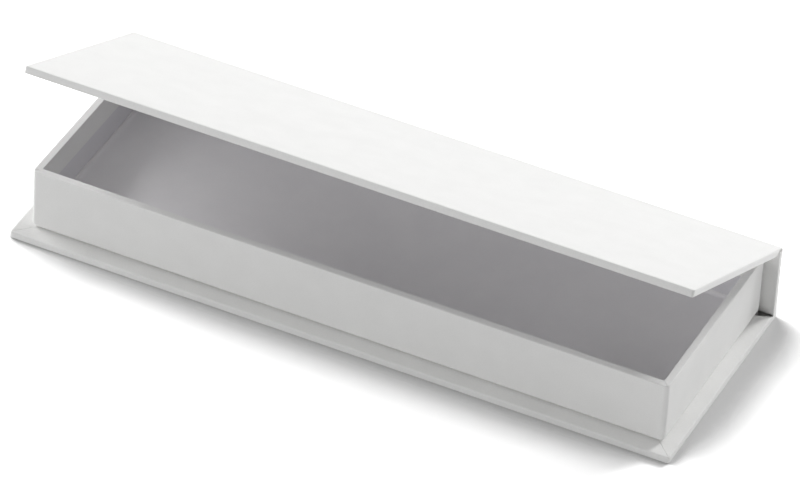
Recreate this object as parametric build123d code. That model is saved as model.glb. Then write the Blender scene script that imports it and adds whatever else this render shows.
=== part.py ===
from build123d import *
import math
import os

# Hinged cardboard pencil box, built like a book: three greyboard panels in one folded paper cover,
# with a paper-covered tray glued on the base panel and against the spine.
# Millimetres. X runs along the box, the front is -Y, +Z is up, and the origin is under the middle
# of the base, on the surface that the box stands on.

# Size of the closed box over the paper
length = 220.0
depth = 80.0
closed_height = 26.6

# How far the lid stands open, and how close it comes to the tray's rim when shut
lid_angle = 25.0
shut_gap = 0.3

# Sheet materials
case_board = 2.0
tray_board = 2.0
cover_paper = 0.2
lining_paper = 0.2
corner_tape = 0.1

# Place of the tray on the base panel
front_overhang = 5.4
side_overhang = 4.4

# Open space between a panel's rear edge and the spine, where the paper can fold, and how far the
# paper flaps at its ends dip into it
hinge_gap = 2.8
flap_dip = 0.8

# Clear height under the spine board, where the cover paper alone turns the corner to the base
spine_lift = 2.0

# Widths of the folded-in paper margins, and how far the case's lining stays back from the lid's
# front edge and from the panels' ends
case_turn_in = 15.0
tray_turn_in = 9.0
tray_turn_under = 12.0
lining_inset = 2.5
lining_end_inset = 5.0
lining_turn_up = 1.6
mitre_seam = 0.1
rim_seam = 0.12

# Roundings of the covered edges, measured on the paper
case_edge_radius = 0.4
case_corner_radius = 0.8
tray_corner_radius = 1.5
tray_foot_radius = 1.6
tray_rim_radius = 0.35
lining_bend_radius = 1.2

# Corner tape: length of each leg, and how far it stays below the rim and above the foot
tape_leg = 12.0
tape_margin = 2.5

# Paper fold at the lid: how far it reaches each side of the crease, and its outer rounding
fold_reach = 1.6
fold_radius = 0.7

# Places that follow from the sizes above
half_length = length / 2
half_depth = depth / 2
panel = case_board + 2 * cover_paper
panel_rear = half_depth - panel - lining_paper - hinge_gap
spine_inner = half_depth - panel
spine_head = closed_height - cover_paper - lining_paper
lined_spine = spine_inner - lining_paper
rim = closed_height - panel - lining_paper - shut_gap
tray_half_length = half_length - side_overhang
tray_front = front_overhang - half_depth
tray_back = lined_spine
core_half_length = tray_half_length - cover_paper
core_front = tray_front + cover_paper
core_back = tray_back - cover_paper
well_half_length = core_half_length - tray_board
well_front = core_front + tray_board
well_back = core_back - tray_board
floor_bottom = panel + cover_paper
floor_top = floor_bottom + tray_board


def block(x0, x1, y0, y1, z0, z1):
    """Plain block between two corners."""
    middle = Pos((x0 + x1) / 2, (y0 + y1) / 2, (z0 + z1) / 2)
    return middle * Box(x1 - x0, y1 - y0, z1 - z0)


def rounded_block(limits, upright=0, bottom=0, top=0):
    """Block with its upright edges rounded first, then the edges round its bottom and its top."""
    solid = block(*limits)
    if upright:
        solid = fillet(solid.edges().filter_by(Axis.Z), upright)
    if bottom:
        solid = fillet(solid.faces().sort_by(Axis.Z)[0].edges(), bottom)
    if top:
        solid = fillet(solid.faces().sort_by(Axis.Z)[-1].edges(), top)
    return solid


def prism(outline, low, high):
    """Upright prism over an outline in the XY plane."""
    face = make_face(Polyline(*outline, close=True))
    return extrude(Pos(0, 0, low) * face, high - low)


def frame_between(half_x, front, back, wall, z0, z1):
    """Four thin walls that line the inside of a rectangular well."""
    outside = block(-half_x, half_x, front, back, z0, z1)
    return outside - block(wall - half_x, half_x - wall, front + wall, back - wall, z0, z1)


def to_lid(solid):
    """Turns a piece of the base panel over, so that it lies as the shut lid's."""
    return mirror(solid, about=Plane.XY.offset(closed_height / 2))


def opened(solid):
    """Swings a piece from the shut lid up to the lid's resting angle."""
    crease = Axis((0, half_depth, closed_height), (-1, 0, 0))
    return solid.rotate(crease, lid_angle)


def panel_body(rear=panel_rear):
    """Covered panel with rounded front and side edges, cut square at the rear."""
    past_rear = half_depth + 2 * case_turn_in
    solid = rounded_block((-half_length, half_length, -half_depth, past_rear, 0, panel),
                          case_corner_radius, case_edge_radius, case_edge_radius)
    return solid & block(-length, length, -depth, rear, 0, panel)


def panel_board(rear=panel_rear):
    """Greyboard of the base or the lid, cut square, with its front corners eased."""
    half = half_length - cover_paper
    solid = block(-half, half, cover_paper - half_depth, rear, cover_paper, panel - cover_paper)
    corners = solid.edges().filter_by(Axis.Z).sort_by(Axis.Y)[:2]
    return fillet(corners, case_corner_radius - cover_paper)


def corner_seam(side):
    """Slit between two folded-in margins where they meet at a front corner."""
    diagonal = math.hypot(case_turn_in, case_turn_in)
    start = Pos(side * (half_length - case_turn_in / 2), case_turn_in / 2 - half_depth, panel)
    slit = Box(diagonal - 2 * case_corner_radius, mitre_seam, 2 * cover_paper)
    return start * Rot(0, 0, -45 * side) * slit


def panel_cover():
    """Paper round the base or lid board, with its margins folded onto the inner face."""
    bare = block(case_turn_in - half_length, half_length - case_turn_in, case_turn_in - half_depth,
                 half_depth, panel - cover_paper, panel)
    cover = panel_body() - panel_board() - bare
    for side in (-1, 1):
        cover -= corner_seam(side)
    return cover


def spine_body():
    """Covered spine, an upright slab at the rear with its end and foot edges rounded."""
    past_head = closed_height + case_turn_in
    solid = rounded_block((-half_length, half_length, spine_inner, half_depth, 0, past_head),
                          case_edge_radius, case_edge_radius)
    return solid & block(-length, length, -depth, depth, 0, spine_head)


def spine_board():
    """Greyboard of the spine. Its foot stays clear of the paper that turns the corner to the base."""
    half = half_length - cover_paper
    return block(-half, half, spine_inner + cover_paper, half_depth - cover_paper,
                 cover_paper + spine_lift, spine_head)


def spine_cover():
    """Paper on the spine's outside and ends, with its end margins folded onto the inner face."""
    half = half_length - cover_paper
    hollow = block(-half, half, 0, half_depth - cover_paper, cover_paper, cover_paper + spine_lift)
    bare = block(case_turn_in - half_length, half_length - case_turn_in, 0, spine_inner + cover_paper,
                 cover_paper, closed_height)
    fold = block(-length, length, half_depth - cover_paper, half_depth, closed_height - fold_reach,
                 closed_height)
    return spine_body() - spine_board() - hollow - bare - fold


def groove_ends(high):
    """Outline of the groove's two ends, seen from the side, up to the sloping top of the paper flaps."""
    reach = spine_inner + 2 * case_edge_radius
    low_end = high - flap_dip * (reach - panel_rear) / hinge_gap
    outline = [(panel_rear, 0), (reach, 0), (reach, low_end), (panel_rear, high)]
    face = make_face(Polyline(*outline, close=True))
    return extrude(Plane.YZ.offset(-length) * face, 2 * length)


def groove_cover():
    """Paper under the groove behind the base board, folded up and over at the groove's ends as flaps."""
    far = half_length - cover_paper
    shell = panel_body(spine_inner + 2 * case_edge_radius) & groove_ends(panel)
    hollow = groove_ends(panel - cover_paper) & block(-far, far, 0, depth, cover_paper, panel)
    mouth = [(-tray_half_length, panel_rear - panel), (tray_half_length, panel_rear - panel),
             (tray_half_length, panel_rear), (far, spine_inner), (far, half_depth),
             (-far, half_depth), (-far, spine_inner), (-tray_half_length, panel_rear)]
    return shell - hollow - prism(mouth, panel / 3, 2 * panel) - spine_board()


def case_cover():
    """The cover sheet's part on the base and the spine, in one piece."""
    return panel_cover() + groove_cover() + spine_cover()


def spine_lining():
    """Lining strip down behind the tray, from the fold to the groove, with its foot in the groove."""
    half = half_length - lining_end_inset
    upright = block(-half, half, lined_spine, spine_inner, cover_paper, closed_height - fold_reach)
    foot = block(-half, half, panel_rear, spine_inner, cover_paper, cover_paper + lining_paper)
    return upright + foot


def lid_strip():
    """Bare paper between the lid board and the fold, with its ends folded in and cut back to a slant."""
    rear = half_depth - fold_reach
    shell = panel_body(rear) - panel_board(rear + panel)
    shell &= block(-length, length, panel_rear, rear, 0, panel)
    inside = half_length - case_edge_radius
    shell -= block(-inside, inside, panel_rear, rear, cover_paper, panel)
    slant = [(panel_rear, panel), (spine_inner, 1.5 * cover_paper), (rear, 1.5 * cover_paper),
             (rear, 2 * panel), (panel_rear, 2 * panel)]
    face = make_face(Polyline(*slant, close=True))
    return shell - extrude(Plane.YZ.offset(-length) * face, 2 * length)


def lid_cover():
    """The cover sheet's part on the lid, with the bare strip of paper that reaches the crease."""
    return opened(to_lid(panel_cover() + lid_strip()))


def lid_lining():
    """Lining sheet over the lid's folded-in margins."""
    under = closed_height - panel
    half = half_length - lining_end_inset
    return opened(block(-half, half, lining_inset - half_depth, panel_rear, under - lining_paper, under))


def bent_strip(path, thickness, radius, half):
    """Strip of paper along a path of three points in the YZ plane, one thickness to its right."""
    start, bend, end = [Vector(*point) for point in path]
    first = (bend - start).normalized()
    second = (end - bend).normalized()
    right = [Vector(way.Y, -way.X) * thickness for way in (first, second)]
    turn = first.get_angle(second) / 2
    middle = (right[0] + right[1]).normalized() * (thickness / math.cos(math.radians(turn)))
    outline = [start, bend, end, end + right[1], bend + middle, start + right[0]]
    face = make_face(Polyline(*outline, close=True))
    outer = face.vertices().sort_by_distance(bend)[0]
    face = fillet(outer, radius)
    inner = face.vertices().sort_by_distance(bend + middle)[0]
    face = fillet(inner, radius - thickness)
    return extrude(Plane.YZ.offset(-half) * face, 2 * half)


def lid_point(back, down):
    """Place of a point of the shut lid, given from the crease, after the lid has swung up."""
    swing = math.radians(lid_angle)
    y = -back * math.cos(swing) - down * math.sin(swing)
    z = back * math.sin(swing) - down * math.cos(swing)
    return half_depth + y, closed_height + z


def hinge_cover():
    """Folded strip of the cover sheet over the crease, from the lid to the spine."""
    path = (lid_point(fold_reach, 0), (half_depth, closed_height), (half_depth, closed_height - fold_reach))
    return bent_strip(path, cover_paper, fold_radius, half_length)


def hinge_lining():
    """Folded strip of the lining, from the lid board's rear edge down to the spine's inner face."""
    lid_end = lid_point(half_depth - panel_rear, panel)
    path = (lid_end, (spine_inner, lid_end[1]), (spine_inner, closed_height - fold_reach))
    return bent_strip(path, lining_paper, 2 * lining_paper, half_length - lining_end_inset)


def tray_core():
    """The tray's board outline as one block with eased corners and foot, before it is hollowed."""
    limits = (-core_half_length, core_half_length, core_front, core_back, floor_bottom, rim - cover_paper)
    return rounded_block(limits, tray_corner_radius - cover_paper, tray_foot_radius - cover_paper)


def rim_seams():
    """Slits across the rim's corners, where the turned-over margins of two walls meet."""
    wall = tray_board + cover_paper
    slit = Box(math.hypot(wall, wall) - tray_corner_radius, rim_seam, 2 * cover_paper)
    seams = []
    for end in (-1, 1):
        for side, y in ((-1, tray_front), (1, tray_back)):
            middle = Pos(end * (tray_half_length - wall / 2), y - side * wall / 2, rim)
            seams.append(middle * Rot(0, 0, 45 * end * side) * slit)
    return seams


def well(z0, z1):
    """The space between the four wall boards."""
    return block(-well_half_length, well_half_length, well_front, well_back, z0, z1)


def tray_boards():
    """Four wall boards round a floor board: the long walls run full length, the short ones fit between."""
    walls = tray_core() - well(0, closed_height)
    ends = walls & block(-length, length, well_front, well_back, 0, closed_height)
    return {
        "tray_front_board": walls & block(-length, length, -depth, well_front, 0, closed_height),
        "tray_back_board": walls & block(-length, length, well_back, depth, 0, closed_height),
        "tray_left_board": ends & block(-length, 0, -depth, depth, 0, closed_height),
        "tray_right_board": ends & block(0, length, -depth, depth, 0, closed_height),
        "tray_floor_board": well(floor_bottom, floor_top),
    }


def corner_tapes():
    """Paper tapes folded round the tray's upright corners, pressed flush under the cover."""
    low = floor_bottom + tape_margin
    high = rim - tape_margin
    outer = block(-core_half_length - corner_tape, core_half_length + corner_tape,
                  core_front - corner_tape, core_back + corner_tape, low, high)
    upright = tray_corner_radius - cover_paper
    outer = fillet(outer.edges().filter_by(Axis.Z), upright + corner_tape)
    inner = block(-core_half_length, core_half_length, core_front, core_back, low, high)
    ring = outer - fillet(inner.edges().filter_by(Axis.Z), upright)
    tapes = {}
    for end, x in (("left", -core_half_length), ("right", core_half_length)):
        for side, y in (("front", core_front), ("back", core_back)):
            around = block(x - tape_leg, x + tape_leg, y - tape_leg, y + tape_leg, low, high)
            tapes["tray_tape_" + side + "_" + end] = ring & around
    return tapes


def tray_cover(tapes):
    """Paper round the tray's walls, turned over the rim into the well and under the floor."""
    limits = (-tray_half_length, tray_half_length, tray_front, tray_back, panel, rim)
    outside = rounded_block(limits, tray_corner_radius, tray_foot_radius, tray_rim_radius)
    bottom = block(tray_turn_under - tray_half_length, tray_half_length - tray_turn_under,
                   tray_front + tray_turn_under, tray_back - tray_turn_under, 0, floor_bottom)
    cover = outside - tray_core() - bottom - well(rim - cover_paper, rim)
    cover += frame_between(well_half_length, well_front, well_back, cover_paper, rim - tray_turn_in, rim)
    for tape in tapes.values():
        cover -= tape
    inner_rim = cover.edges().filter_by(lambda edge: on_inner_rim(edge))
    cover = fillet(inner_rim, tray_rim_radius / 2)
    for seam in rim_seams():
        cover -= seam
    return cover


def on_inner_rim(edge):
    """True for the edges where the rim meets the paper that is folded into the well."""
    middle = edge @ 0.5
    level = abs(middle.Z - rim) < 0.01
    inside = abs(middle.X) < well_half_length and well_front < middle.Y < well_back
    return level and inside


def dish(inset, radius):
    """Block that fills the foot of the well inside its walls, with soft edges round its bottom."""
    side = lining_paper + inset
    limits = (side - well_half_length, well_half_length - side, well_front + side, well_back - side,
              floor_top + inset, floor_top + lining_turn_up + 2 * inset)
    return rounded_block(limits, 0, radius)


def tray_linings():
    """Lining strip round the well's walls, and the floor's sheet with its margins turned up the walls."""
    walls = frame_between(well_half_length, well_front, well_back, lining_paper, floor_top,
                          rim - tray_turn_in)
    floor = dish(0, lining_bend_radius) - dish(lining_paper, lining_bend_radius - lining_paper)
    return {"tray_wall_lining": walls, "tray_floor_lining": floor}


def build_parts():
    """Every separate piece of the box, by name."""
    tapes = corner_tapes()
    parts = {
        "base_board": panel_board(),
        "spine_board": spine_board(),
        "case_cover": case_cover(),
        "spine_lining": spine_lining(),
        "lid_board": opened(to_lid(panel_board())),
        "lid_cover": lid_cover(),
        "lid_lining": lid_lining(),
        "hinge_cover": hinge_cover(),
        "hinge_lining": hinge_lining(),
        "tray_cover": tray_cover(tapes),
    }
    parts.update(tray_boards())
    parts.update(tray_linings())
    parts.update(tapes)
    return parts


os.makedirs("parts", exist_ok=True)
for name, solid in build_parts().items():
    export_step(solid, "parts/" + name + ".step")
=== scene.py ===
import math

import bpy
from mathutils import Matrix, Vector


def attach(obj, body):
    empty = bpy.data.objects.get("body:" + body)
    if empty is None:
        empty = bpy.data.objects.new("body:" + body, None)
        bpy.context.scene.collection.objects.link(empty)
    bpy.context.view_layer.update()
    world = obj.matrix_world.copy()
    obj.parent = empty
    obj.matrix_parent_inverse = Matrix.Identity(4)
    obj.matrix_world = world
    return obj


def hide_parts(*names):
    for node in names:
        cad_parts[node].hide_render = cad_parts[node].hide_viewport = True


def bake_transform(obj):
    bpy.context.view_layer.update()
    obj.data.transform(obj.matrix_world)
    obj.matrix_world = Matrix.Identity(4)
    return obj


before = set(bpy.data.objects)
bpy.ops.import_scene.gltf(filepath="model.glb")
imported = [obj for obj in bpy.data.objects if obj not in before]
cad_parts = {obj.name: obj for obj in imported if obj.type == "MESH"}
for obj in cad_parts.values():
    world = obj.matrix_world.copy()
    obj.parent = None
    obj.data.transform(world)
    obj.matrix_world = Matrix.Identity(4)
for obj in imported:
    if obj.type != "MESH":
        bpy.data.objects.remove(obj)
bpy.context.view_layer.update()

# Sizes that the paper folds share with the part, in metres
HALF_LENGTH = 0.11
HALF_DEPTH = 0.04
CLOSED_HEIGHT = 0.0266
LID_ANGLE = math.radians(25)
PANEL = 0.0024
PAPER = 0.0002
HINGE_GAP = 0.0028
LINING_END_INSET = 0.005
TURN_IN = 0.015
EDGE_RADIUS = 0.0004
FOLD_REACH = 0.0016
FOLD_RADIUS = 0.0007

# Thickness of the cover's margin where the fold presses it against a board's edge
PRESSED_PAPER = 0.00008

# Places that follow from the sizes. A place in the YZ plane is a vector of its y and its z.
CREASE = Vector((HALF_DEPTH, CLOSED_HEIGHT))
SPINE_INNER = HALF_DEPTH - PANEL
SPINE_HEAD = CLOSED_HEIGHT - 2 * PAPER
LINING_BACK = PANEL + PAPER + HINGE_GAP
LINING_HALF = HALF_LENGTH - LINING_END_INSET

# Range that most of a noise's values lie in
NOISE_LOW = 0.3
NOISE_HIGH = 0.7

# Sockets of a node that mixes two colours
MIX_SHARE, MIX_FIRST, MIX_SECOND, MIX_RESULT = 0, 6, 7, 2

# Floor: half its side, its colour in the light that it gives back to the box, and its colour to the
# camera, which is past 1 because the lamps are too weak to show a white floor as white
FLOOR_HALF = 4.0
FLOOR_COLOUR = 0.85
FLOOR_SEEN = 2.05

# Shade on the floor: how far off the box is felt, the way that the shade looks for it, how open the floor
# is where the shade is deepest and where it ends, and the share of brightness that the deepest shade leaves
SHADE_SAMPLES = 24
SHADE_REACH = 0.03
SHADE_LOOKS = Vector((-0.2, 0.05, 0.98))
DEEPEST_AT = 0.6
ENDS_AT = 0.915
DEEPEST_LEAVES = 0.34

# Strength of the even light from all round
AMBIENT = 0.1

# Point that the lamps face, over the middle of the box
LIT_POINT = Vector((0, 0, 0.02))

# Camera: the point that it looks at, where it is from there, how far it leans, and its lens in millimetres
LOOKED_AT = Vector((-0.003257, 0.012439, 0))
CAMERA_AZIMUTH = 23.419
CAMERA_ELEVATION = 38.068
CAMERA_DISTANCE = 2.14965
CAMERA_ROLL = math.radians(3.772)
CAMERA_LENS = 317.17
SENSOR_WIDTH = 36
FARTHEST_SEEN = 20


def lid_point(back, down):
    """Place in the YZ plane of a point of the shut lid, given from the crease, once the lid has swung up."""
    y = -back * math.cos(LID_ANGLE) - down * math.sin(LID_ANGLE)
    z = back * math.sin(LID_ANGLE) - down * math.cos(LID_ANGLE)
    return CREASE + Vector((y, z))


def rounded_line(start, bend, end, radius, steps=10):
    """Points along start, bend, end, with the bend rounded by an arc."""
    before = (start - bend).normalized()
    after = (end - bend).normalized()
    opening = before.angle(after) / 2
    reach = radius / math.tan(opening)
    middle = bend + (before + after).normalized() * radius / math.sin(opening)
    first = bend + before * reach - middle
    sweep = math.pi - 2 * opening
    turn = -sweep if before.cross(after) > 0 else sweep
    points = [start]
    for step in range(steps + 1):
        angle = turn * step / steps
        arm = Vector((first.x * math.cos(angle) - first.y * math.sin(angle),
                      first.x * math.sin(angle) + first.y * math.cos(angle)))
        points.append(middle + arm)
    points.append(end)
    return points


def strip_columns(half_length, rounding, columns=44, steps=6):
    """Pairs of a place along the strip and how far the paper has sunk there, with rounded ends."""
    straight = half_length - rounding
    pairs = [(straight * (2 * column / columns - 1), 0) for column in range(columns + 1)]
    if rounding:
        for step in range(1, steps + 1):
            angle = math.pi / 2 * step / steps
            x = straight + rounding * math.sin(angle)
            sunk = rounding * (1 - math.cos(angle))
            pairs = [(-x, sunk)] + pairs + [(x, sunk)]
    return pairs


def add_mesh(name, vertices, faces):
    """New object in the scene with these faces."""
    mesh = bpy.data.meshes.new(name)
    mesh.from_pydata(vertices, [], faces)
    mesh.update()
    piece = bpy.data.objects.new(name, mesh)
    bpy.context.scene.collection.objects.link(piece)
    return piece


def folded_strip(name, outer, thickness, half_length, rounding=0):
    """Closed sheet that follows the outer line in the YZ plane, with its thickness to the line's right."""
    inward = []
    for number in range(len(outer)):
        ahead = outer[min(number + 1, len(outer) - 1)] - outer[max(number - 1, 0)]
        ahead.normalize()
        inward.append(Vector((ahead.y, -ahead.x)))
    places = strip_columns(half_length, rounding)
    last = len(places) - 1
    count = 2 * len(outer)
    vertices = []
    for x, sunk in places:
        top = [point + way * sunk for point, way in zip(outer, inward)]
        under = [point + way * thickness for point, way in zip(top, inward)]
        vertices += [(x, point.x, point.y) for point in top + under[::-1]]
    faces = []
    for column in range(last):
        base = column * count
        for number in range(count):
            after = (number + 1) % count
            faces.append((base + number, base + count + number, base + count + after, base + after))
    for base, forward in ((0, True), (last * count, False)):
        for number in range(len(outer) - 1):
            under = base + count - 1 - number
            quad = [base + number, base + number + 1, under - 1, under]
            faces.append(quad if forward else quad[::-1])
    return add_mesh(name, vertices, faces)


class Shader:
    """A material made of nodes, with its texture coordinates in millimetres."""

    def __init__(self, name):
        self.material = bpy.data.materials.new(name)
        self.material.use_nodes = True
        self.tree = self.material.node_tree
        self.surface = self.tree.nodes["Principled BSDF"]
        place = self.tree.nodes.new("ShaderNodeTexCoord")
        self.place = self.tree.nodes.new("ShaderNodeMapping")
        self.place.inputs["Scale"].default_value = (1000, 1000, 1000)
        self.link(place.outputs["Object"], self.place.inputs["Vector"])

    def link(self, source, target):
        self.tree.links.new(source, target)

    def noise(self, size, detail=3.0, roughness=0.5, stretch=(1, 1, 1)):
        """Noise with bumps about this many millimetres across."""
        squeeze = self.tree.nodes.new("ShaderNodeMapping")
        squeeze.inputs["Scale"].default_value = stretch
        self.link(self.place.outputs["Vector"], squeeze.inputs["Vector"])
        node = self.tree.nodes.new("ShaderNodeTexNoise")
        node.inputs["Scale"].default_value = 1 / size
        node.inputs["Detail"].default_value = detail
        node.inputs["Roughness"].default_value = roughness
        self.link(squeeze.outputs["Vector"], node.inputs["Vector"])
        return node.outputs["Fac"]

    def ramp(self, value, first, second, low=NOISE_LOW, high=NOISE_HIGH):
        """Colour that goes from the first to the second as the value goes from low to high."""
        node = self.tree.nodes.new("ShaderNodeValToRGB")
        node.color_ramp.elements[0].position = low
        node.color_ramp.elements[0].color = (*first, 1)
        node.color_ramp.elements[1].position = high
        node.color_ramp.elements[1].color = (*second, 1)
        self.link(value, node.inputs["Fac"])
        return node.outputs["Color"]

    def multiply(self, share, colour, shade):
        """The colour, darkened by the shade to this share."""
        node = self.tree.nodes.new("ShaderNodeMix")
        node.data_type = "RGBA"
        node.blend_type = "MULTIPLY"
        node.inputs[MIX_SHARE].default_value = share
        self.link(colour, node.inputs[MIX_FIRST])
        self.link(shade, node.inputs[MIX_SECOND])
        return node.outputs[MIX_RESULT]

    def spread(self, value, low, high):
        """The noise's value, stretched to the range between low and high."""
        node = self.tree.nodes.new("ShaderNodeMapRange")
        node.inputs["From Min"].default_value = NOISE_LOW
        node.inputs["From Max"].default_value = NOISE_HIGH
        node.inputs["To Min"].default_value = low
        node.inputs["To Max"].default_value = high
        self.link(value, node.inputs["Value"])
        return node.outputs["Result"]

    def relief(self, layers):
        """Bumps on the surface: pairs of a height and its depth in millimetres, coarse ones first."""
        normal = None
        for height, deep in layers:
            node = self.tree.nodes.new("ShaderNodeBump")
            node.inputs["Distance"].default_value = deep / 1000
            self.link(height, node.inputs["Height"])
            if normal is not None:
                self.link(normal, node.inputs["Normal"])
            normal = node.outputs["Normal"]
        self.link(normal, self.surface.inputs["Normal"])


def paper(name, light, dark, roughness, uneven=0.06):
    """Smooth wrapping paper: cloudy pulp, fine fibres, and a faint press texture."""
    shader = Shader(name)
    cloud = shader.noise(9.0, detail=4.0)
    fibre = shader.noise(0.55, detail=5.0, roughness=0.65, stretch=(1, 2.4, 2.4))
    grain = shader.noise(0.16, detail=2.0)
    tone = shader.ramp(cloud, dark, light)
    fleck = shader.ramp(fibre, [0.955] * 3, [1.0] * 3, high=0.6)
    shader.link(shader.multiply(1.0, tone, fleck), shader.surface.inputs["Base Color"])
    shine = shader.spread(fibre, roughness - uneven, roughness + uneven)
    shader.link(shine, shader.surface.inputs["Roughness"])
    shader.surface.inputs["Specular IOR Level"].default_value = 0.3
    shader.relief([(fibre, 0.02), (grain, 0.006)])
    return shader.material


def greyboard():
    """Pressed waste-paper board: grey, with darker and lighter fibres and a rough face."""
    shader = Shader("greyboard")
    cloud = shader.noise(6.0, detail=5.0)
    fibre = shader.noise(0.5, detail=6.0, roughness=0.7, stretch=(1, 3, 3))
    tone = shader.ramp(cloud, (0.30, 0.28, 0.25), (0.38, 0.36, 0.32))
    fleck = shader.ramp(fibre, [0.7] * 3, [1.1] * 3, low=0.35, high=0.65)
    shader.link(shader.multiply(0.8, tone, fleck), shader.surface.inputs["Base Color"])
    shader.surface.inputs["Roughness"].default_value = 0.95
    shader.surface.inputs["Specular IOR Level"].default_value = 0.15
    shader.relief([(cloud, 0.05), (fibre, 0.04)])
    return shader.material


def kraft():
    """Brown gummed paper tape with long fibres."""
    shader = Shader("kraft_tape")
    fibre = shader.noise(0.6, detail=6.0, roughness=0.7, stretch=(1, 1, 4))
    tone = shader.ramp(fibre, (0.36, 0.22, 0.11), (0.52, 0.34, 0.18))
    shader.link(tone, shader.surface.inputs["Base Color"])
    shader.surface.inputs["Roughness"].default_value = 0.6
    shader.relief([(fibre, 0.02)])
    return shader.material


def dress(piece, material):
    """Gives a piece this one material."""
    piece.data.materials.clear()
    piece.data.materials.append(material)


def dress_frame(cover, lining, wall_lining, board, tape):
    """A material for every CAD node, by what the node is made of, but with a darker copy of the lining paper
    on the well's walls, which is painted shade.
    """
    for name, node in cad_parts.items():
        if name.endswith("_board"):
            dress(node, board)
        elif "tape" in name:
            dress(node, tape)
        # The well's walls take the darker copy of the lining paper: painted shade below the cover's margin
        elif name == "tray_wall_lining":
            dress(node, wall_lining)
        elif name.endswith("_lining"):
            dress(node, lining)
        else:
            dress(node, cover)


def add_hinge(cover, lining):
    """The two papers that carry the lid, as sheets with a rounded fold between the box and the lid."""
    low = CREASE - Vector((0, FOLD_REACH))
    outer = rounded_line(lid_point(FOLD_REACH, 0), CREASE, low, FOLD_RADIUS)
    sheet = folded_strip("hinge_paper", outer, PAPER, HALF_LENGTH, EDGE_RADIUS)
    dress(sheet, cover)
    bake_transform(sheet)
    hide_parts("hinge_cover")
    start = lid_point(LINING_BACK, PANEL)
    end = Vector((SPINE_INNER, CREASE.y - FOLD_REACH))
    line = rounded_line(start, Vector((SPINE_INNER, start.y)), end, 2 * PAPER)
    strip = folded_strip("hinge_lining_paper", line, PAPER, LINING_HALF)
    dress(strip, lining)
    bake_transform(strip)
    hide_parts("hinge_lining")


def add_turn_in(name, section, body, cover):
    """The cover's margin over a board's edge at both ends of the fold, from its outline in the YZ plane."""
    outer = HALF_LENGTH - PAPER
    inner = HALF_LENGTH - TURN_IN
    count = len(section)
    vertices = []
    faces = []
    for low, high in ((-outer, -inner), (inner, outer)):
        base = len(vertices)
        for x in (low, high):
            vertices += [(x, point.x, point.y) for point in section]
        ring = range(base, base + count)
        faces += [tuple(ring)[::-1], tuple(number + count for number in ring)]
        for number in range(count):
            first = base + number
            after = base + (number + 1) % count
            faces.append((first, after, after + count, first + count))
    piece = add_mesh(name, vertices, faces)
    dress(piece, cover)
    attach(piece, body)


def add_turn_ins(cover):
    """Turned-in paper on the spine's head and on the lid's rear edge, at both ends of the fold."""
    top = SPINE_HEAD + PRESSED_PAPER
    back = CREASE.x - PAPER
    head = [Vector((SPINE_INNER, SPINE_HEAD)), Vector((back, SPINE_HEAD)), Vector((back, top)),
            Vector((SPINE_INNER, top))]
    add_turn_in("spine_head_turn_in", head, "box", cover)
    near = LINING_BACK - PRESSED_PAPER
    rear = [lid_point(near, PAPER), lid_point(LINING_BACK, PAPER), lid_point(LINING_BACK, PANEL),
            lid_point(near, PANEL)]
    add_turn_in("lid_rear_turn_in", rear, "lid", cover)


def direction(azimuth, elevation):
    """The way from the box, in degrees. Azimuth 0 is to its front, and 90 to its right."""
    turn = math.radians(azimuth)
    rise = math.radians(elevation)
    return Vector((math.sin(turn) * math.cos(rise), -math.cos(turn) * math.cos(rise), math.sin(rise)))


def add_lamp(name, azimuth, elevation, distance, size, power):
    """Soft round lamp that faces the box."""
    place = direction(azimuth, elevation) * distance
    lamp = bpy.data.lights.new(name, "AREA")
    lamp.shape = "DISK"
    lamp.size = size
    lamp.energy = power
    thing = bpy.data.objects.new(name, lamp)
    bpy.context.scene.collection.objects.link(thing)
    thing.location = place
    thing.rotation_euler = (LIT_POINT - place).to_track_quat("-Z", "Y").to_euler()


def seen_directly(tree):
    """One for the rays that show the background: to the camera, in a reflection or through glass."""
    path = tree.nodes.new("ShaderNodeLightPath")
    total = path.outputs["Is Camera Ray"]
    for kind in ("Is Glossy Ray", "Is Transmission Ray"):
        step = tree.nodes.new("ShaderNodeMath")
        step.use_clamp = True
        tree.links.new(total, step.inputs[0])
        tree.links.new(path.outputs[kind], step.inputs[1])
        total = step.outputs[0]
    return total


def shaded_floor(tree):
    """The floor's colour to the camera: white, but for a soft shade close to the box."""
    openness = tree.nodes.new("ShaderNodeAmbientOcclusion")
    openness.samples = SHADE_SAMPLES
    openness.inputs["Distance"].default_value = SHADE_REACH
    looks = tree.nodes.new("ShaderNodeCombineXYZ")
    for socket, value in zip(looks.inputs, SHADE_LOOKS.normalized()):
        socket.default_value = value
    tree.links.new(looks.outputs["Vector"], openness.inputs["Normal"])
    shade = tree.nodes.new("ShaderNodeMapRange")
    shade.interpolation_type = "SMOOTHSTEP"
    shade.inputs["From Min"].default_value = DEEPEST_AT
    shade.inputs["From Max"].default_value = ENDS_AT
    shade.inputs["To Min"].default_value = DEEPEST_LEAVES * FLOOR_SEEN
    shade.inputs["To Max"].default_value = FLOOR_SEEN
    tree.links.new(openness.outputs["AO"], shade.inputs["Value"])
    return shade.outputs["Result"]


def floor_material():
    """Plain matt white, with one colour to the camera and another in the light that it gives back."""
    material = bpy.data.materials.new("floor")
    material.use_nodes = True
    tree = material.node_tree
    tree.nodes.remove(tree.nodes["Principled BSDF"])
    surface = tree.nodes.new("ShaderNodeBsdfDiffuse")
    colour = tree.nodes.new("ShaderNodeMix")
    colour.data_type = "RGBA"
    colour.inputs[MIX_FIRST].default_value = (*[FLOOR_COLOUR] * 3, 1)
    tree.links.new(seen_directly(tree), colour.inputs[MIX_SHARE])
    tree.links.new(shaded_floor(tree), colour.inputs[MIX_SECOND])
    tree.links.new(colour.outputs[MIX_RESULT], surface.inputs["Color"])
    tree.links.new(surface.outputs["BSDF"], tree.nodes["Material Output"].inputs["Surface"])
    return material


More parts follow.
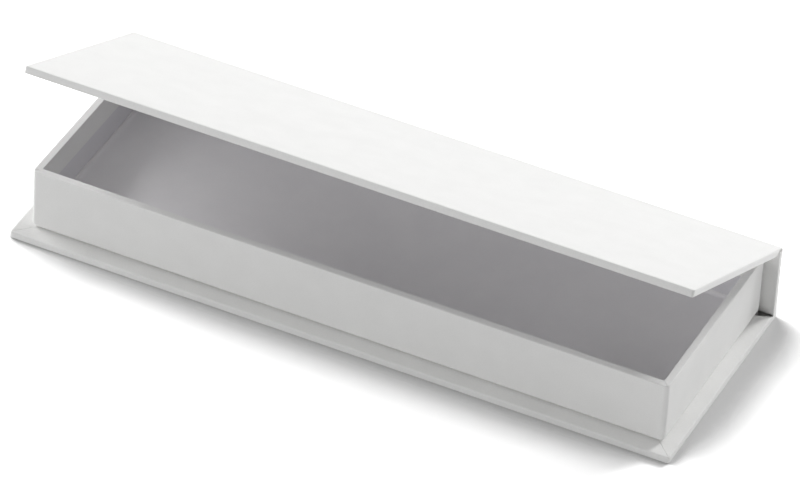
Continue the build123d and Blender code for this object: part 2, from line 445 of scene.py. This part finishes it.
def add_floor():
    """Square floor that the box stands on."""
    corners = [(-FLOOR_HALF, -FLOOR_HALF, 0), (FLOOR_HALF, -FLOOR_HALF, 0), (FLOOR_HALF, FLOOR_HALF, 0),
               (-FLOOR_HALF, FLOOR_HALF, 0)]
    floor = add_mesh("floor", corners, [(0, 1, 2, 3)])
    dress(floor, floor_material())


def add_world():
    """Even white light from all round, with a white background behind it."""
    world = bpy.data.worlds.new("studio")
    bpy.context.scene.world = world
    world.use_nodes = True
    tree = world.node_tree
    backdrop = tree.nodes["Background"]
    strength = tree.nodes.new("ShaderNodeMapRange")
    strength.inputs["To Min"].default_value = AMBIENT
    strength.inputs["To Max"].default_value = 1.0
    tree.links.new(seen_directly(tree), strength.inputs["Value"])
    tree.links.new(strength.outputs["Result"], backdrop.inputs["Strength"])
    backdrop.inputs["Color"].default_value = (1, 1, 1, 1)


def add_camera():
    """Long lens from the front right and above, tilted a little, as in the photograph."""
    back = direction(CAMERA_AZIMUTH, CAMERA_ELEVATION)
    right = (-back).cross(Vector((0, 0, 1))).normalized()
    up = right.cross(-back)
    across = right * math.cos(CAMERA_ROLL) + up * math.sin(CAMERA_ROLL)
    upward = up * math.cos(CAMERA_ROLL) - right * math.sin(CAMERA_ROLL)
    camera = bpy.data.cameras.new("camera")
    camera.lens = CAMERA_LENS
    camera.sensor_width = SENSOR_WIDTH
    camera.clip_end = FARTHEST_SEEN
    thing = bpy.data.objects.new("camera", camera)
    bpy.context.scene.collection.objects.link(thing)
    turn = Matrix((across, upward, back)).transposed().to_4x4()
    thing.matrix_world = Matrix.Translation(LOOKED_AT + back * CAMERA_DISTANCE) @ turn
    bpy.context.scene.camera = thing


cover_paper = paper("cover_paper", (0.94, 0.94, 0.93), (0.915, 0.915, 0.905), 0.55)
lining_paper = paper("lining_paper", (0.93, 0.92, 0.93), (0.905, 0.895, 0.91), 0.65)
# The lining paper again, made darker for the well's walls: painted shade below the cover's margin
shaded_wall_lining_paper = paper("shaded_wall_lining_paper", (0.83, 0.82, 0.845), (0.805, 0.795, 0.825), 0.65)
dress_frame(cover_paper, lining_paper, shaded_wall_lining_paper, greyboard(), kraft())
add_hinge(cover_paper, lining_paper)
add_turn_ins(cover_paper)
add_floor()
add_world()
add_lamp("key", azimuth=155, elevation=36, distance=1.6, size=0.5, power=12.8)
add_lamp("side", azimuth=-100, elevation=34, distance=1.8, size=1.2, power=19.8)
add_lamp("front", azimuth=-25, elevation=15, distance=1.8, size=1.2, power=10.7)
add_lamp("right", azimuth=103, elevation=16, distance=1.8, size=1.2, power=6.2)
add_camera()
bpy.context.scene.view_settings.view_transform = "Standard"
